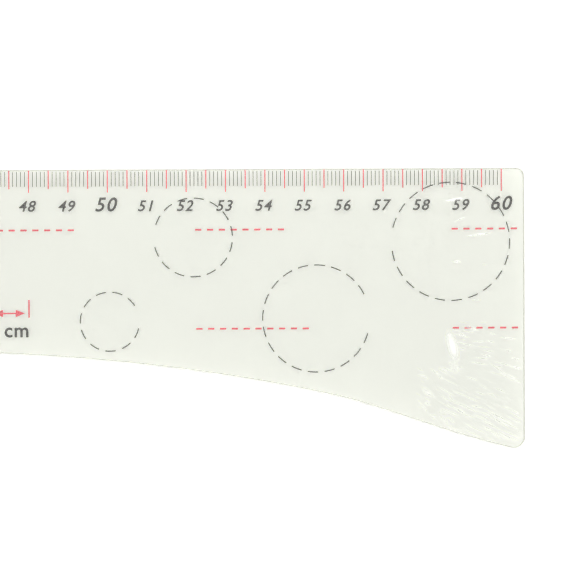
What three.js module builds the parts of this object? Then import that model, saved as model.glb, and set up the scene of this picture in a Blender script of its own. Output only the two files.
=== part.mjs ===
// A 60 cm french curve for pattern drafting: a clear acrylic blade with a straight measuring edge, a long
// hip curve and a french-curve head, and the clear film that protects its printed face.
//
// Everything is drawn in the scale's own frame, in millimetres: x is the reading on the straight scale, y is
// minus the depth below the measuring edge, and z is the height above the table. The assembly is then moved
// so that its origin is the centre of its footprint, on the table, with the measuring edge towards +Y.

import * as THREE from "three";

// ---- Driving dimensions ----

// Blade
const SCALE_LENGTH = 600; // from the zero mark to the last mark
const END_MARGIN = 5.9; // clear acrylic past the first and the last mark
const BLADE_THICKNESS = 2.5;
const EDGE_CHAMFER = 0.25; // all round both faces, so that no edge is sharp
const TOP_CORNER_RADIUS = 2;
const TOE_CORNER_RADIUS = 3; // where the hip curve meets the right-hand end

// Hip curve, from the toe at the right-hand end to the waist. A place on it is given by how far it is before
// the last mark and how deep it is below the measuring edge.
const TOE_DEPTH = 71.2;
const TOE_SLOPE = 0.25;
const HIP_TURN = { beforeLastMark: 37, depth: 59.1, slope: 0.305 }; // where it changes from hollow to full
const WAIST = { beforeLastMark: 152, depth: 46.1 }; // the narrowest place
const HIP_PULL = { toe: 0.415, turnToToe: 0.415, turnToWaist: 0.043, waist: 0.545 };

// French-curve head, from the waist to the left-hand end. A place on it is given by its reading on the scale.
const HEAD_TURN = { reading: 262, depth: 80, slope: -0.4 }; // where the hollow turns into the head
const HEAD_BOTTOM = { reading: 112, depth: 121 }; // the deepest place
const HEAD_SIDE_DEPTH = 52; // where the head's curve meets the straight left-hand end
const HEAD_PULL = {
  waist: 0.37,
  turnToWaist: 0.34,
  turnToHead: 0.31,
  bottomRight: 0.33,
  bottomLeft: 0.45,
  side: 0.28,
};

// Window in the head, a comma for tight inside curves
const WINDOW_RIM = { left: 40, below: 24 }; // solid left of it and below it, out to the blade's outline
const WINDOW_TOP = { reading: 66, depth: 53 };
const WINDOW_TIP = { reading: 200, depth: 72, radius: 4, slope: -0.4 };
const WINDOW_LEFT_DROP = 17; // from the window's top down to its leftmost place
const WINDOW_PULL = {
  topRight: 0.44,
  topLeft: 0.44,
  leftAbove: 0.28,
  leftBelow: 0.18,
  bottomLeft: 0.48,
  bottomRight: 0.35,
  tip: 0.33,
};

// Hole for hanging the blade on a nail
const HANGING_HOLE = { fromLeftEnd: 16, depth: 48, diameter: 8 };

// Film over the printed face
const FILM_THICKNESS = 0.08;
const FILM_MARGIN = 0.15; // from the inner edge of the blade's chamfer to the film
const PRINT_GAP = 0.02; // between the blade and the film, where the ink lies

// Fineness
const CURVE_STEP = 2.5; // longest chord along a long curve
const ARC_STEPS = 8; // least number of chords in a corner
const CIRCLE_STEPS = 40;

// ---- Colours ----

const CLEAR_ACRYLIC = { color: 0xe4e8dc, roughness: 0.05, metalness: 0, transparent: true, opacity: 0.45 };
const CLEAR_FILM = { color: 0xf2f4ee, roughness: 0.12, metalness: 0, transparent: true, opacity: 0.2 };

// ---- Curves ----

const LEFT = -END_MARGIN;
const RIGHT = SCALE_LENGTH + END_MARGIN;

const at = (reading, depth) => new THREE.Vector2(reading, -depth);
const heading = (slope) => new THREE.Vector2(1, -slope).normalize(); // to the right, falling by slope
const RIGHTWARDS = heading(0);
const DOWNWARDS = new THREE.Vector2(0, -1);

// A smooth curve that leaves one point in a direction and arrives at another. A pull is how far the curve
// holds the direction at that end, as a share of the straight distance between the two points.
function sweep(from, leaving, leavingPull, to, arriving, arrivingPull) {
  const span = from.distanceTo(to);
  const out = from.clone().addScaledVector(leaving, leavingPull * span);
  const back = to.clone().addScaledVector(arriving, -arrivingPull * span);
  return new THREE.CubicBezierCurve(from, out, back, to);
}

function arc(centre, radius, fromAngle, toAngle) {
  return new THREE.EllipseCurve(centre.x, centre.y, radius, radius, fromAngle, toAngle, false);
}

// The points of a closed loop of curves, each cut into chords of about CURVE_STEP.
function loopPoints(curves) {
  return curves.flatMap((curve) => {
    const straight = curve instanceof THREE.LineCurve;
    const steps = straight ? 1 : Math.max(ARC_STEPS, Math.ceil(curve.getLength() / CURVE_STEP));
    return curve.getPoints(steps).slice(0, -1);
  });
}

// The same anticlockwise loop moved inwards by a distance; a negative distance moves it outwards.
function insetLoop(points, distance) {
  return points.map((point, i) => {
    const before = points[(i + points.length - 1) % points.length];
    const after = points[(i + 1) % points.length];
    const along = after.clone().sub(before).normalize();
    return new THREE.Vector2(point.x - along.y * distance, point.y + along.x * distance);
  });
}

// ---- Blade ----

function bladeOutline() {
  const toeDirection = heading(TOE_SLOPE);
  const toeAngle = Math.atan(TOE_SLOPE);
  const toeEnd = at(RIGHT - TOE_CORNER_RADIUS * (1 + Math.sin(toeAngle)), TOE_DEPTH);
  const toeCentreY = toeEnd.y + TOE_CORNER_RADIUS * Math.cos(toeAngle);
  const toeCentre = new THREE.Vector2(RIGHT - TOE_CORNER_RADIUS, toeCentreY);
  const topRight = at(RIGHT - TOP_CORNER_RADIUS, TOP_CORNER_RADIUS);
  const topLeft = at(LEFT + TOP_CORNER_RADIUS, TOP_CORNER_RADIUS);
  const side = at(LEFT, HEAD_SIDE_DEPTH);
  const bottom = at(HEAD_BOTTOM.reading, HEAD_BOTTOM.depth);
  const headTurn = at(HEAD_TURN.reading, HEAD_TURN.depth);
  const headTurnDirection = heading(HEAD_TURN.slope);
  const waist = at(SCALE_LENGTH - WAIST.beforeLastMark, WAIST.depth);
  const hipTurn = at(SCALE_LENGTH - HIP_TURN.beforeLastMark, HIP_TURN.depth);
  const hipTurnDirection = heading(HIP_TURN.slope);
  return loopPoints([
    arc(toeCentre, TOE_CORNER_RADIUS, -Math.PI / 2 - toeAngle, 0),
    new THREE.LineCurve(new THREE.Vector2(RIGHT, toeCentre.y), new THREE.Vector2(RIGHT, topRight.y)),
    arc(topRight, TOP_CORNER_RADIUS, 0, Math.PI / 2),
    new THREE.LineCurve(at(topRight.x, 0), at(topLeft.x, 0)),
    arc(topLeft, TOP_CORNER_RADIUS, Math.PI / 2, Math.PI),
    new THREE.LineCurve(new THREE.Vector2(LEFT, topLeft.y), side),
    sweep(side, DOWNWARDS, HEAD_PULL.side, bottom, RIGHTWARDS, HEAD_PULL.bottomLeft),
    sweep(bottom, RIGHTWARDS, HEAD_PULL.bottomRight, headTurn, headTurnDirection, HEAD_PULL.turnToHead),
    sweep(headTurn, headTurnDirection, HEAD_PULL.turnToWaist, waist, RIGHTWARDS, HEAD_PULL.waist),
    sweep(waist, RIGHTWARDS, HIP_PULL.waist, hipTurn, hipTurnDirection, HIP_PULL.turnToWaist),
    sweep(hipTurn, hipTurnDirection, HIP_PULL.turnToToe, toeEnd, toeDirection, HIP_PULL.toe),
  ]);
}

function windowOutline() {
  const tip = at(WINDOW_TIP.reading, WINDOW_TIP.depth);
  const tipAngle = -Math.atan(WINDOW_TIP.slope);
  const tipDirection = heading(WINDOW_TIP.slope);
  const tipOutwards = new THREE.Vector2(tipDirection.y, -tipDirection.x);
  const tipBelow = tip.clone().addScaledVector(tipOutwards, WINDOW_TIP.radius);
  const tipAbove = tip.clone().add(new THREE.Vector2(0, WINDOW_TIP.radius));
  const bottom = at(HEAD_BOTTOM.reading, HEAD_BOTTOM.depth - WINDOW_RIM.below);
  const left = at(LEFT + WINDOW_RIM.left, WINDOW_TOP.depth + WINDOW_LEFT_DROP);
  const top = at(WINDOW_TOP.reading, WINDOW_TOP.depth);
  const leftwards = RIGHTWARDS.clone().negate();
  return loopPoints([
    arc(tip, WINDOW_TIP.radius, tipAngle - Math.PI / 2, Math.PI / 2),
    sweep(tipAbove, leftwards, WINDOW_PULL.topRight, top, leftwards, WINDOW_PULL.topRight),
    sweep(top, leftwards, WINDOW_PULL.topLeft, left, DOWNWARDS, WINDOW_PULL.leftAbove),
    sweep(left, DOWNWARDS, WINDOW_PULL.leftBelow, bottom, RIGHTWARDS, WINDOW_PULL.bottomLeft),
    sweep(bottom, RIGHTWARDS, WINDOW_PULL.bottomRight, tipBelow, tipDirection, WINDOW_PULL.tip),
  ]);
}

function hangingHoleOutline() {
  const centre = at(LEFT + HANGING_HOLE.fromLeftEnd, HANGING_HOLE.depth);
  return arc(centre, HANGING_HOLE.diameter / 2, 0, 2 * Math.PI).getPoints(CIRCLE_STEPS).slice(0, -1);
}

// A flat sheet with the blade's outline and openings, drawn in by inset at every edge.
function sheetShape(inset) {
  const shape = new THREE.Shape(insetLoop(bladeOutline(), inset));
  for (const opening of [windowOutline(), hangingHoleOutline()])
    shape.holes.push(new THREE.Path(insetLoop(opening, -inset)));
  return shape;
}

function blade() {
  const geometry = new THREE.ExtrudeGeometry(sheetShape(0), {
    depth: BLADE_THICKNESS - 2 * EDGE_CHAMFER,
    bevelThickness: EDGE_CHAMFER,
    bevelSize: EDGE_CHAMFER,
    bevelOffset: -EDGE_CHAMFER,
    bevelSegments: 1,
  });
  geometry.translate(0, 0, EDGE_CHAMFER);
  return named("ruler_blade", geometry, CLEAR_ACRYLIC);
}

// ---- Film ----

function film() {
  const inset = EDGE_CHAMFER + FILM_MARGIN;
  const extrusion = { depth: FILM_THICKNESS, bevelEnabled: false };
  const geometry = new THREE.ExtrudeGeometry(sheetShape(inset), extrusion);
  geometry.translate(0, 0, BLADE_THICKNESS + PRINT_GAP);
  return named("front_film", geometry, CLEAR_FILM);
}

// ---- Assembly ----

function named(name, geometry, finish) {
  const mesh = new THREE.Mesh(geometry, new THREE.MeshStandardMaterial(finish));
  mesh.name = name;
  return mesh;
}

const frenchCurve = new THREE.Group();
frenchCurve.add(blade(), film());

const footprint = new THREE.Box3().setFromObject(frenchCurve);
const centre = footprint.getCenter(new THREE.Vector3());
frenchCurve.position.set(-centre.x, -centre.y, -footprint.min.z);

export default frenchCurve;
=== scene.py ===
"""A clear acrylic french curve for pattern drafting, lying on a white table with its printed face up.

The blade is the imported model's own. This script adds the screen-printed scale and guides, and the wrinkled
film that covers them. Sizes are in millimetres and are turned into metres where a mesh is made.
"""

import math
import random

import bmesh
import bpy
from mathutils import Matrix, Vector


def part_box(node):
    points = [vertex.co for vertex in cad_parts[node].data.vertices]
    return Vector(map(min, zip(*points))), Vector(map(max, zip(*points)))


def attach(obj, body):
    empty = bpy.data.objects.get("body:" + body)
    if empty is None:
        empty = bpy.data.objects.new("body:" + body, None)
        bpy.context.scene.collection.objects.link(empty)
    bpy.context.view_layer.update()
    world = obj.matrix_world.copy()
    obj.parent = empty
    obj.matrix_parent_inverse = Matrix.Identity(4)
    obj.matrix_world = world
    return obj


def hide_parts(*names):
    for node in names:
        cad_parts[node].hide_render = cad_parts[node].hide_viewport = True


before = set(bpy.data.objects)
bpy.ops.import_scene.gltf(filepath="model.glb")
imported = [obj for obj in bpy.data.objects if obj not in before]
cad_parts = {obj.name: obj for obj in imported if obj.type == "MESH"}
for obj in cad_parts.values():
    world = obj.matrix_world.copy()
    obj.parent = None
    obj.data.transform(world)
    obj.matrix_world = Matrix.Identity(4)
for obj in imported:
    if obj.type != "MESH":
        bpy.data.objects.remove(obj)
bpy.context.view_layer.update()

MM = 0.001
CENTIMETRE = 10
HALF_CENTIMETRE = 5

# ---- The blade's own measures ----

BLADE_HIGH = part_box("ruler_blade")[1]
FILM_LOW, FILM_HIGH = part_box("front_film")
SCALE_LENGTH = 600
END_MARGIN = 5.9  # clear acrylic past the last mark
FACE = BLADE_HIGH.z / MM

# ---- Printing ----

INK_LIFT = 0.004  # keeps the ink's underside off the acrylic
INK_THICKNESS = 0.01
INK_TOP = FACE + INK_LIFT + INK_THICKNESS

TICK_WIDTH_BLACK = 0.18
TICK_WIDTH_RED = 0.31
MILLIMETRE_TICK = (0.6, 4.4)  # depths below the measuring edge of its two ends
HALF_CENTIMETRE_TICK = (0.3, 5.0)
CENTIMETRE_TICK = (0.3, 5.9)

NUMERAL_FOOT = 10.65  # depth of the baseline
NUMERAL_HEIGHT = 2.85
TEN_NUMERAL_HEIGHT = 3.66
NUMERAL_SLANT = 0.26
NUMERAL_WEIGHT = 0.016  # how far a stroke is thickened, for lettering of size 1
TEN_NUMERAL_WEIGHT = 0.017
NUMERAL_SPACING = 1.14
NUMERAL_SHIFT = -0.3  # of a numeral's middle from its tick
LAST_NUMERAL_SHIFT = 0.1

DASH_PITCH = 3.0
DASH_LENGTH = 1.65
DASH_WIDTH = 0.5
UPPER_LINE_DEPTH = 15.45
LOWER_LINE_DEPTH = 40.6
# Readings where each run of dashes starts and ends
UPPER_LINE_RUNS = ((587.3, 604.1), (522.2, 545.9), (12.85, 491.5))
LOWER_LINE_RUNS = ((587.5, 604.5), (522.4, 552.3))

# Button sizes: diameter, reading and depth of the centre, dashes in a full turn, first dash and dash length
# in degrees anticlockwise from the scale's direction, and the dashes left out where the size was lettered.
BUTTON_CIRCLES = (
    (15, 500.5, 38.7, 11, 32, 20.3, (10,)),
    (20, 521.7, 17.4, 15, 2, 15, (7,)),
    (27.2, 552.9, 38.1, 20, 26.5, 11.5, (18, 19)),
    (30, 587.05, 18.65, 22, -7.5, 10.3, (11,)),
)
CIRCLE_LINE = 0.3
DASH_CHORDS = 4  # in one dash of a circle

# Spacing gauges: the reading of each one's middle and the centimetres it spans
SPACING_GAUGES = ((475, 1), (440, 2), (395, 3))
GAUGE_TICK = (33.05, 37.6)
GAUGE_TICK_WIDTH = 0.4
GAUGE_AXIS = 36.5
ARROW_HEAD = (2.4, 1.9)  # length and height
ARROW_CLEARANCE = 1.0  # from the arrow's point to the tick
ARROW_SHAFT = 0.4
GAUGE_TEXT_FOOT = 42.5
GAUGE_TEXT_HEIGHT = 3.75
GAUGE_TEXT_WEIGHT = 0.018
GAUGE_TEXT_SPACING = 1.08

CAP_HEIGHT = 0.729  # of the built-in lettering, for a size of 1
LETTER_FINENESS = 3

# ---- Film ----

FILM_THICKNESS = (FILM_HIGH.z - FILM_LOW.z) / MM
# Where the film is wrinkled: the readings and depths that bound each zone, and the size of its mesh cells
WRINKLED_ZONES = ((576.5, 606, 36.8, 75, 0.2), (584, 601, 5, 36.8, 0.3))
ZONE_FADE = 1.5  # over which the creases die away inside a zone's edge
# How high the film stands where its painted glints start and where they are brightest: raised crests are
# drawn whiter
PAINTED_GLINT_FROM = 0.01
PAINTED_GLINT_FULL = 0.08
# Creases that stand by themselves; the last two are a pinch. Each has the reading and depth of its middle,
# its direction in degrees below the scale's, its half length, its height and its half width.
LONE_CREASES = (
    (594.5, 17, -9, 3.6, 0.06, 0.22),
    (588.6, 23.9, 3, 1.2, 0.062, 0.28),
    (588.2, 8.2, -8, 2.2, 0.056, 0.22),
    (595.6, 24.6, 2, 0.8, 0.05, 0.25),
    (593.6, 33.6, 0, 1.6, 0.056, 0.22),
    (589.4, 13.2, -20, 2, 0.04, 0.22),
    (587.4, 45.2, 75, 3.8, 0.077, 1.3),
    (587.9, 50.5, 75, 2.4, 0.032, 1.5),
)
# Creases at random places: how many, whether they gather at the deeper side, the least and most reading,
# depth, half length and height, the mean direction and its spread, and the least and most half width
SCATTERED_CREASES = (
    # nearly level, near the end
    (36, False, (588.5, 604), (38.5, 51), (0.8, 2.4), (0.028, 0.064), (11, 5), (0.19, 0.19)),
    # fine and nearly side by side, below those and out to the toe
    (160, True, (585.5, 604), (46, 70), (1.2, 4), (0.012, 0.05), (27, 5), (0.19, 0.19)),
    # broader and softer, to the left of those
    (48, False, (578.5, 588), (49, 66), (0.8, 2), (0.016, 0.044), (38, 12), (0.3, 0.6)),
)
CREASE_SEED = 11
CREASE_REACH = 2.2  # times its half length or half width, beyond which a crease has died away
CUT_TOLERANCE = 1e-8  # metres
MERGE_DISTANCE = 1e-7  # metres
FILM_SHARP_ANGLE = 40  # degrees between faces, over which an edge of the film stays sharp


def place(reading, depth, height=FACE):
    """The point in the frame, in metres, at a reading on the scale and a depth below the measuring edge."""
    x = BLADE_HIGH.x - (SCALE_LENGTH + END_MARGIN - reading) * MM
    return Vector((x, BLADE_HIGH.y - depth * MM, height * MM))


# ---- Materials ----


def linear(hex_colour):
    """An sRGB hex colour as the linear colour that a shader takes."""
    channels = (int(hex_colour[i : i + 2], 16) / 255 for i in (0, 2, 4))
    return (*(c / 12.92 if c <= 0.04045 else ((c + 0.055) / 1.055) ** 2.4 for c in channels), 1.0)


def add_node(material, kind, settings=None, values=None, links=None):
    """A node with its settings, its input values by name, and its inputs fed by another node's output."""
    tree = material.node_tree
    node = tree.nodes.new(kind)
    for name, setting in (settings or {}).items():
        setattr(node, name, setting)
    for name, value in (values or {}).items():
        node.inputs[name].default_value = value
    for name, (source, output) in (links or {}).items():
        tree.links.new(source.outputs[output], node.inputs[name])
    return node


def new_material(name):
    material = bpy.data.materials.new(name)
    material.use_nodes = True
    material.node_tree.nodes.clear()
    return material


def per_metre(feature_mm):
    """A noise scale, in features per metre, for a feature of that size."""
    return 1 / (feature_mm * MM)


# Cast acrylic, cut by a router and left with its polish: clear, slightly green-yellow through its thickness,
# with hairline scuffs on the faces and the cutter's fine upright lines on the edges; the edges' greyer
# colour is painted shade.
def cast_acrylic():
    m = new_material("cast_acrylic")
    place_on = add_node(m, "ShaderNodeTexCoord")
    across = {"Vector": (place_on, "Object")}
    scuff = add_node(
        m,
        "ShaderNodeTexNoise",
        values={"Scale": per_metre(1.2), "Detail": 4.0, "Roughness": 0.6},
        links=across,
    )
    drawn_out = add_node(m, "ShaderNodeMapping", values={"Scale": (1, 1, 0.02)}, links=across)
    cutter = add_node(
        m,
        "ShaderNodeTexNoise",
        values={"Scale": per_metre(0.5), "Detail": 2.0},
        links={"Vector": (drawn_out, "Vector")},
    )
    surface = add_node(m, "ShaderNodeNewGeometry")
    facing = add_node(m, "ShaderNodeSeparateXYZ", links={"Vector": (surface, "Normal")})
    upright = add_node(m, "ShaderNodeMath", {"operation": "ABSOLUTE"}, links={0: (facing, "Z")})
    on_edge = add_node(
        m,
        "ShaderNodeMapRange",
        values={"From Min": 0.95, "From Max": 0.7, "To Min": 0.0, "To Max": 1.0},
        links={"Value": (upright, "Value")},
    )
    polish = add_node(
        m,
        "ShaderNodeMapRange",
        values={"From Min": 0.4, "From Max": 0.7, "To Min": 0.02, "To Max": 0.05},
        links={"Value": (scuff, "Fac")},
    )
    roughness = add_node(
        m,
        "ShaderNodeMath",
        {"operation": "MULTIPLY_ADD"},
        {1: 0.3},
        {0: (on_edge, "Result"), 2: (polish, "Result")},
    )
    lines = add_node(
        m,
        "ShaderNodeMath",
        {"operation": "MULTIPLY"},
        links={0: (on_edge, "Result"), 1: (cutter, "Fac")},
    )
    bump = add_node(
        m,
        "ShaderNodeBump",
        values={"Strength": 0.35, "Distance": 0.02 * MM},
        links={"Height": (lines, "Value")},
    )
    # Painted shade: where the surface stands upright the colour goes from FEFEFB to the greyer ECEDE4, for
    # the shade along the blade's rim.
    colour_with_painted_edge_shade = add_node(
        m,
        "ShaderNodeMix",
        {"data_type": "RGBA"},
        links={0: (on_edge, "Result")},
    )
    colour_with_painted_edge_shade.inputs[6].default_value = linear("FEFEFB")
    colour_with_painted_edge_shade.inputs[7].default_value = linear("ECEDE4")
    shader = add_node(
        m,
        "ShaderNodeBsdfPrincipled",
        values={"IOR": 1.49, "Transmission Weight": 1.0},
        links={"Base Color": (colour_with_painted_edge_shade, 2), "Roughness": (roughness, "Value"), "Normal": (bump, "Normal")},
    )
    through = add_node(
        m,
        "ShaderNodeVolumeAbsorption",
        values={"Color": linear("CFE0B4"), "Density": 9.0},
    )
    add_node(
        m,
        "ShaderNodeOutputMaterial",
        links={"Surface": (shader, "BSDF"), "Volume": (through, "Volume")},
    )
    return m


# Low-density polyethylene film, blown and rolled: clear and a little hazy. Where a crease stands off the
# acrylic it is drawn whiter, as painted glints.
def polyethylene_film():
    m = new_material("polyethylene_film")
    place_on = add_node(m, "ShaderNodeTexCoord")
    haze = add_node(
        m,
        "ShaderNodeTexNoise",
        values={"Scale": per_metre(3), "Detail": 3.0},
        links={"Vector": (place_on, "Object")},
    )
    roughness = add_node(
        m,
        "ShaderNodeMapRange",
        values={"From Min": 0.35, "From Max": 0.7, "To Min": 0.05, "To Max": 0.11},
        links={"Value": (haze, "Fac")},
    )
    height = add_node(m, "ShaderNodeSeparateXYZ", links={"Vector": (place_on, "Object")})
    # Painted glints: the film turns from clear to diffuse white as it rises above its top, so crease crests
    # show as bright lines.
    clear_but_for_painted_glints = add_node(
        m,
        "ShaderNodeMapRange",
        values={
            "From Min": FILM_HIGH.z + PAINTED_GLINT_FROM * MM,
            "From Max": FILM_HIGH.z + PAINTED_GLINT_FULL * MM,
            "To Min": 1.0,
            "To Max": 0.4,
        },
        links={"Value": (height, "Z")},
    )
    shader = add_node(
        m,
        "ShaderNodeBsdfPrincipled",
        values={"Base Color": linear("FDFEFC"), "IOR": 1.51},
        links={"Roughness": (roughness, "Result"), "Transmission Weight": (clear_but_for_painted_glints, "Result")},
    )
    add_node(m, "ShaderNodeOutputMaterial", links={"Surface": (shader, "BSDF")})
    return m


# Solvent ink, screen printed: matt, with the mesh's slight mottle and a thin patch here and there.
def screen_ink(name, full_hex, thin_hex):
    m = new_material(name)
    place_on = add_node(m, "ShaderNodeTexCoord")
    mottle = add_node(
        m,
        "ShaderNodeTexNoise",
        values={"Scale": per_metre(0.35), "Detail": 3.0, "Roughness": 0.65},
        links={"Vector": (place_on, "Object")},
    )
    colour = add_node(m, "ShaderNodeValToRGB", links={"Fac": (mottle, "Fac")})
    colour.color_ramp.elements[0].position = 0.45
    colour.color_ramp.elements[0].color = linear(full_hex)
    colour.color_ramp.elements[1].position = 0.75
    colour.color_ramp.elements[1].color = linear(thin_hex)
    roughness = add_node(
        m,
        "ShaderNodeMapRange",
        values={"To Min": 0.45, "To Max": 0.65},
        links={"Value": (mottle, "Fac")},
    )
    shader = add_node(
        m,
        "ShaderNodeBsdfPrincipled",
        links={"Base Color": (colour, "Color"), "Roughness": (roughness, "Result")},
    )
    add_node(m, "ShaderNodeOutputMaterial", links={"Surface": (shader, "BSDF")})
    return m


# Matt white laminate table, with a little glow of its own so that it reads as plain white.
def white_laminate():
    m = new_material("white_laminate")
    shader = add_node(
        m,
        "ShaderNodeBsdfPrincipled",
        values={
            "Base Color": linear("F4F4F4"),
            "Roughness": 0.9,
            "Emission Color": (1, 1, 1, 1),
            "Emission Strength": FLOOR_GLOW,
        },
    )
    add_node(m, "ShaderNodeOutputMaterial", links={"Surface": (shader, "BSDF")})
    return m


# ---- Mesh helpers ----


def piece(name, bm, material):
    """Turns a finished bmesh into a piece of the object that rides on the one body."""
    mesh = bpy.data.meshes.new(name)
    bm.to_mesh(mesh)
    bm.free()
    mesh.materials.append(material)
    thing = bpy.data.objects.new(name, mesh)
    bpy.context.scene.collection.objects.link(thing)
    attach(thing, "root")
    return thing


def printed(name, bm, ink):
    """A piece of printing: ink is black or red."""
    bmesh.ops.recalc_face_normals(bm, faces=bm.faces)
    return piece(name, bm, INKS[ink])


def ink_bar(bm, reading, depth, length, width, along=True):
    """A straight printed stroke, centred at a reading and a depth."""
    centre = place(reading, depth, INK_TOP - INK_THICKNESS / 2)
    size = (length, width) if along else (width, length)
    scale = Matrix.Diagonal((size[0] * MM, size[1] * MM, INK_THICKNESS * MM, 1))
    bmesh.ops.create_cube(bm, size=1, matrix=Matrix.Translation(centre) @ scale)


def ink_tick(bm, reading, depths, width):
    """A printed tick between two depths."""
    ink_bar(bm, reading, sum(depths) / 2, depths[1] - depths[0], width, along=False)


def ink_arc(bm, reading, depth, radius, start, sweep, width):
    """A printed stroke along an arc; angles are in degrees, anticlockwise from the scale's direction."""
    centre = place(reading, depth, INK_TOP - INK_THICKNESS / 2)
    section = Matrix.Diagonal((width * MM, 1, INK_THICKNESS * MM, 1))
    upright = Matrix.Rotation(math.pi / 2, 4, "X")
    outwards = Matrix.Translation((radius * MM, 0, 0))
    turned = Matrix.Rotation(math.radians(start), 4, "Z")
    matrix = Matrix.Translation(centre) @ turned @ outwards @ section @ upright
    made = bmesh.ops.create_grid(bm, x_segments=1, y_segments=1, size=0.5, matrix=matrix)
    corners = made["verts"]
    faces = list({f for v in corners for f in v.link_faces})
    edges = list({e for v in corners for e in v.link_edges})
    bmesh.ops.spin(
        bm,
        geom=corners + edges + faces,
        cent=centre,
        axis=(0, 0, 1),
        angle=math.radians(sweep),
        steps=DASH_CHORDS,
        use_duplicate=False,
    )


def ink_outline(bm, points):
    """A printed patch with straight sides; points are readings and depths."""
    low = [bm.verts.new(place(*p, INK_TOP - INK_THICKNESS)) for p in points]
    face = bm.faces.new(low)
    raised = bmesh.ops.extrude_face_region(bm, geom=[face])["geom"]
    top = [v for v in raised if isinstance(v, bmesh.types.BMVert)]
    bmesh.ops.translate(bm, verts=top, vec=(0, 0, INK_THICKNESS * MM))


def ink_text(bm, words, reading, foot, height, slant, weight, spacing):
    """Printed lettering centred on a reading, with its foot at a depth and digits of the given height."""
    curve = bpy.data.curves.new("lettering", "FONT")
    curve.body = words
    curve.align_x = "CENTER"
    curve.shear = slant
    curve.offset = weight
    curve.space_character = spacing
    curve.resolution_u = LETTER_FINENESS
    curve.extrude = 0.5  # to each side, so 1 thick before it is scaled to the ink's thickness
    maker = bpy.data.objects.new("lettering", curve)
    bpy.context.scene.collection.objects.link(maker)
    bpy.context.view_layer.update()
    graph = bpy.context.evaluated_depsgraph_get()
    mesh = bpy.data.meshes.new_from_object(maker.evaluated_get(graph))
    bpy.data.objects.remove(maker)
    bpy.data.curves.remove(curve)
    xs = [v.co.x for v in mesh.vertices]
    factor = height / CAP_HEIGHT * MM
    middle = place(reading, foot, INK_TOP - INK_THICKNESS / 2)
    centred = Matrix.Translation((-(min(xs) + max(xs)) / 2, 0, 0))
    size = Matrix.Diagonal((factor, factor, INK_THICKNESS * MM, 1))
    mesh.transform(Matrix.Translation(middle) @ size @ centred)
    bm.from_mesh(mesh)
    bpy.data.meshes.remove(mesh)


# ---- Printed scale ----


def millimetre_ticks():
    bm = bmesh.new()
    for reading in range(SCALE_LENGTH + 1):
        if reading % HALF_CENTIMETRE:
            ink_tick(bm, reading, MILLIMETRE_TICK, TICK_WIDTH_BLACK)
    printed("millimetre_ticks", bm, "black")


def centimetre_ticks():
    halves, wholes = bmesh.new(), bmesh.new()
    for reading in range(0, SCALE_LENGTH + 1, HALF_CENTIMETRE):
        if reading % CENTIMETRE:
            ink_tick(halves, reading, HALF_CENTIMETRE_TICK, TICK_WIDTH_RED)
        else:
            ink_tick(wholes, reading, CENTIMETRE_TICK, TICK_WIDTH_RED)
    printed("half_centimetre_ticks", halves, "red")
    printed("centimetre_ticks", wholes, "red")


def numerals():
    bm = bmesh.new()
    last = SCALE_LENGTH // CENTIMETRE
    for number in range(1, last + 1):
        ten = number % 10 == 0
        height = TEN_NUMERAL_HEIGHT if ten else NUMERAL_HEIGHT
        weight = TEN_NUMERAL_WEIGHT if ten else NUMERAL_WEIGHT
        reading = number * CENTIMETRE + (LAST_NUMERAL_SHIFT if number == last else NUMERAL_SHIFT)
        ink_text(bm, str(number), reading, NUMERAL_FOOT, height, NUMERAL_SLANT, weight, NUMERAL_SPACING)
    printed("centimetre_numerals", bm, "black")


# ---- Printed guides ----


def dashed_line(name, runs, depth):
    """Red dashes on one depth, in runs that leave room where a size is lettered."""
    bm = bmesh.new()
    for start, end in runs:
        reading = start
        while reading < end - DASH_LENGTH / 2:
            length = min(DASH_LENGTH, end - reading)
            ink_bar(bm, reading + length / 2, depth, length, DASH_WIDTH)
            reading += DASH_PITCH
    printed(name, bm, "red")


def button_circle(diameter, reading, depth, dashes, first, sweep, left_out):
    bm = bmesh.new()
    for dash in range(dashes):
        if dash not in left_out:
            start = first + dash * 360 / dashes
            ink_arc(bm, reading, depth, diameter / 2, start, sweep, CIRCLE_LINE)
    printed(f"button_circle_{round(diameter)}mm", bm, "black")


def spacing_gauge(middle, centimetres):
    """Two ticks a whole number of centimetres apart, a double arrow between them and the distance below."""
    half = centimetres * HALF_CENTIMETRE
    bm = bmesh.new()
    length, height = ARROW_HEAD
    for side in (-1, 1):
        ink_tick(bm, middle + side * half, GAUGE_TICK, GAUGE_TICK_WIDTH)
        tip = middle + side * (half - ARROW_CLEARANCE)
        back = tip - side * length
        barbs = ((back, GAUGE_AXIS - height / 2), (back, GAUGE_AXIS + height / 2))
        ink_outline(bm, ((tip, GAUGE_AXIS), *barbs))
    shaft = 2 * (half - ARROW_CLEARANCE - length)
    ink_bar(bm, middle, GAUGE_AXIS, shaft, ARROW_SHAFT)
    printed(f"spacing_gauge_{centimetres}cm", bm, "red")
    bm = bmesh.new()
    style = (GAUGE_TEXT_HEIGHT, 0.0, GAUGE_TEXT_WEIGHT, GAUGE_TEXT_SPACING)
    ink_text(bm, f"{centimetres} cm", middle, GAUGE_TEXT_FOOT, *style)
    printed(f"spacing_gauge_{centimetres}cm_lettering", bm, "black")


# ---- Film ----


def between(draw, least, most):
    """A random value between two, with no draw where they are the same."""
    return least if least == most else draw.uniform(least, most)


def creases():
    """Every crease: reading and depth of its middle, direction, half length, height and half width."""
    draw = random.Random(CREASE_SEED)
    made = list(LONE_CREASES)
    for count, gathered, readings, depths, lengths, heights, directions, widths in SCATTERED_CREASES:
        top, bottom = depths
        for _ in range(count):
            reading, share = draw.uniform(*readings), draw.random()
            depth = top + (bottom - top) * (math.sqrt(share) if gathered else share)
            length, height = draw.uniform(*lengths), draw.uniform(*heights)
            direction, width = draw.gauss(*directions), between(draw, *widths)
            made.append((reading, depth, direction, length, height, width))
    return made


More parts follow.
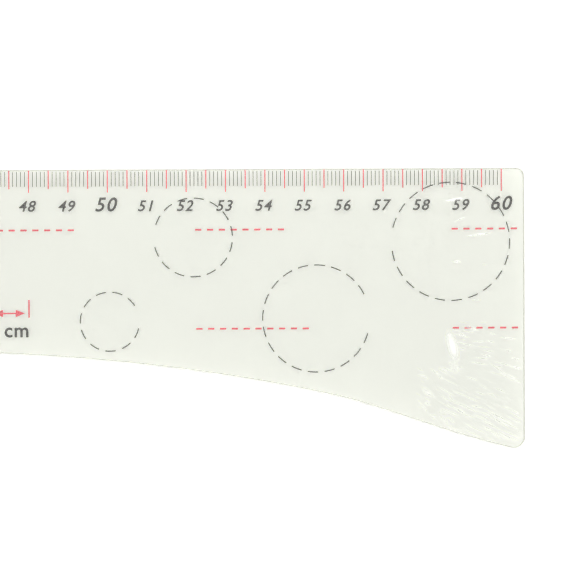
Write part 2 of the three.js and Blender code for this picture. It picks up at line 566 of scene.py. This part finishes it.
def crease_height(made, reading, depth):
    """How far the film stands up at a place: each crease is a ridge that fades on all sides."""
    lift = 0.0
    for middle, at_depth, angle, length, height, width in made:
        across_x, across_y = reading - middle, depth - at_depth
        reach = CREASE_REACH * max(length, width)
        if abs(across_x) > reach or abs(across_y) > reach:
            continue
        turn = math.radians(angle)
        along = across_x * math.cos(turn) + across_y * math.sin(turn)
        aside = across_y * math.cos(turn) - across_x * math.sin(turn)
        lift = max(lift, height * math.exp(-((along / length) ** 2) - (aside / width) ** 2))
    return lift


def cut(bm, faces, axis, at):
    """Cuts faces along a plane square to an axis and returns what they became."""
    normal = Vector(1 if i == axis else 0 for i in range(3))
    edges = list({e for f in faces for e in f.edges})
    verts = list({v for f in faces for v in f.verts})
    made = bmesh.ops.bisect_plane(
        bm, geom=faces + edges + verts, dist=CUT_TOLERANCE, plane_co=normal * at, plane_no=normal
    )
    return [g for g in made["geom"] if isinstance(g, bmesh.types.BMFace)]


def slab(bm, faces, axis, low, high):
    """The part of faces between two places on an axis."""
    for at in (low, high):
        faces = cut(bm, faces, axis, at)
    return [f for f in faces if low < f.calc_center_median()[axis] < high]


def strips(bm, faces, axis, low, high, cell):
    """Cuts faces into strips of a cell's width along an axis."""
    done = []
    for i in range(1, math.ceil((high - low) / cell)):
        at = low + i * cell
        faces = cut(bm, faces, axis, at)
        done += [f for f in faces if f.calc_center_median()[axis] < at]
        faces = [f for f in faces if f.calc_center_median()[axis] > at]
        if not faces:
            break
    return done + faces


def wrinkle(bm, zone, made):
    """Divides the film finely in a zone and lifts it into the creases."""
    left, right, top, bottom, cell = zone
    low, high = place(left, bottom), place(right, top)
    faces = bm.faces[:]
    for axis in (0, 1):
        faces = slab(bm, faces, axis, low[axis], high[axis])
    for axis in (1, 0):
        faces = strips(bm, faces, axis, low[axis], high[axis], cell * MM)
    for v in {v for f in faces for v in f.verts}:
        reading = left + (v.co.x - low.x) / MM
        depth = bottom - (v.co.y - low.y) / MM
        inside = min(reading - left, right - reading, depth - top, bottom - depth) / ZONE_FADE
        fade = min(max(inside, 0), 1)
        v.co.z += fade * crease_height(made, reading, depth) * MM


def wrinkled_film(material):
    bm = bmesh.new()
    bm.from_mesh(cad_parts["front_film"].data)
    bmesh.ops.remove_doubles(bm, verts=bm.verts, dist=MERGE_DISTANCE)
    not_top = [f for f in bm.faces if f.normal.z < 0.5]
    bmesh.ops.delete(bm, geom=not_top, context="FACES")
    area = sum(f.calc_area() for f in bm.faces)
    made = creases()
    for zone in WRINKLED_ZONES:
        wrinkle(bm, zone, made)
    bm.normal_update()
    bmesh.ops.solidify(bm, geom=bm.faces[:], thickness=FILM_THICKNESS * MM)
    for f in bm.faces:
        f.smooth = True
    film = piece("protective_film", bm, material)
    film.data.set_sharp_from_angle(angle=math.radians(FILM_SHARP_ANGLE))
    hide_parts("front_film")


# ---- Table, light and camera ----

FLOOR_GLOW = 0.325
SKY_HIGH = 1.4  # strength overhead
SKY_LOW = 0.6  # strength at the horizon
SKY_BAND = (0.45, 0.75)  # where the strength changes between the two; 0.5 is the horizon and 1 is overhead
STRIP_OFFSET = (0, 0.125, 0.42)  # metres from the middle of the view to the strip lamp
STRIP_SIZE = (0.5, 0.085)  # metres
STRIP_POWER = 0.8  # watts
TABLE_HALF = 9  # metres, so that its edge is far off in a low view
FLOOR_DROP = 0.3  # keeps the table's surface off the blade's back
VIEW_MIDDLE = (545.63, 30.2)  # reading and depth at the middle of the view
VIEW_WIDTH = 145.96
VIEW_ROLL = 0.24  # degrees that the blade is turned anticlockwise in the view
LENS = 100
SENSOR = 36
CLIP_START = 0.01  # metres


def table():
    bm = bmesh.new()
    drop = Matrix.Translation((0, 0, -FLOOR_DROP * MM))
    bmesh.ops.create_grid(bm, x_segments=1, y_segments=1, size=TABLE_HALF, matrix=drop)
    mesh = bpy.data.meshes.new("table")
    bm.to_mesh(mesh)
    bm.free()
    mesh.materials.append(white_laminate())
    top = bpy.data.objects.new("table", mesh)
    bpy.context.scene.collection.objects.link(top)


def soft_light(name, where, aim, size, power):
    """A rectangular lamp that faces a point."""
    lamp = bpy.data.lights.new(name, "AREA")
    lamp.shape = "RECTANGLE"
    lamp.size, lamp.size_y = size
    lamp.energy = power
    holder = bpy.data.objects.new(name, lamp)
    holder.location = where
    holder.rotation_euler = (Vector(aim) - Vector(where)).to_track_quat("-Z", "Y").to_euler()
    bpy.context.scene.collection.objects.link(holder)


def lighting():
    """A white studio, bright above and dimmer towards the horizon, and one strip lamp for the creases."""
    world = bpy.data.worlds.new("white_studio")
    world.use_nodes = True
    direction = add_node(world, "ShaderNodeTexCoord")
    upward = add_node(world, "ShaderNodeSeparateXYZ", links={"Vector": (direction, "Generated")})
    strength = add_node(
        world,
        "ShaderNodeMapRange",
        values={"From Min": SKY_BAND[0], "From Max": SKY_BAND[1], "To Min": SKY_LOW, "To Max": SKY_HIGH},
        links={"Value": (upward, "Z")},
    )
    background = world.node_tree.nodes["Background"]
    background.inputs["Color"].default_value = linear("FFFFFA")
    world.node_tree.links.new(strength.outputs["Result"], background.inputs["Strength"])
    bpy.context.scene.world = world
    middle = place(*VIEW_MIDDLE)
    soft_light("edge_strip", middle + Vector(STRIP_OFFSET), middle, STRIP_SIZE, STRIP_POWER)
    bpy.context.scene.view_settings.view_transform = "Standard"


def camera():
    eye = bpy.data.cameras.new("camera")
    eye.lens = LENS
    eye.sensor_width = SENSOR
    eye.clip_start = CLIP_START
    holder = bpy.data.objects.new("camera", eye)
    holder.location = place(*VIEW_MIDDLE) + Vector((0, 0, VIEW_WIDTH * MM * LENS / SENSOR))
    holder.rotation_euler = (0, 0, -math.radians(VIEW_ROLL))
    bpy.context.scene.collection.objects.link(holder)
    bpy.context.scene.camera = holder


# ---- Assembly ----

INKS = {
    "black": screen_ink("black_screen_ink", "1C1A18", "37342F"),
    "red": screen_ink("red_screen_ink", "F0405A", "F57B8B"),
}

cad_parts["ruler_blade"].material_slots[0].material = cast_acrylic()
millimetre_ticks()
centimetre_ticks()
numerals()
dashed_line("upper_guide_line", UPPER_LINE_RUNS, UPPER_LINE_DEPTH)
dashed_line("lower_guide_line", LOWER_LINE_RUNS, LOWER_LINE_DEPTH)
for circle in BUTTON_CIRCLES:
    button_circle(*circle)
for gauge in SPACING_GAUGES:
    spacing_gauge(*gauge)
wrinkled_film(polyethylene_film())
table()
lighting()
camera()
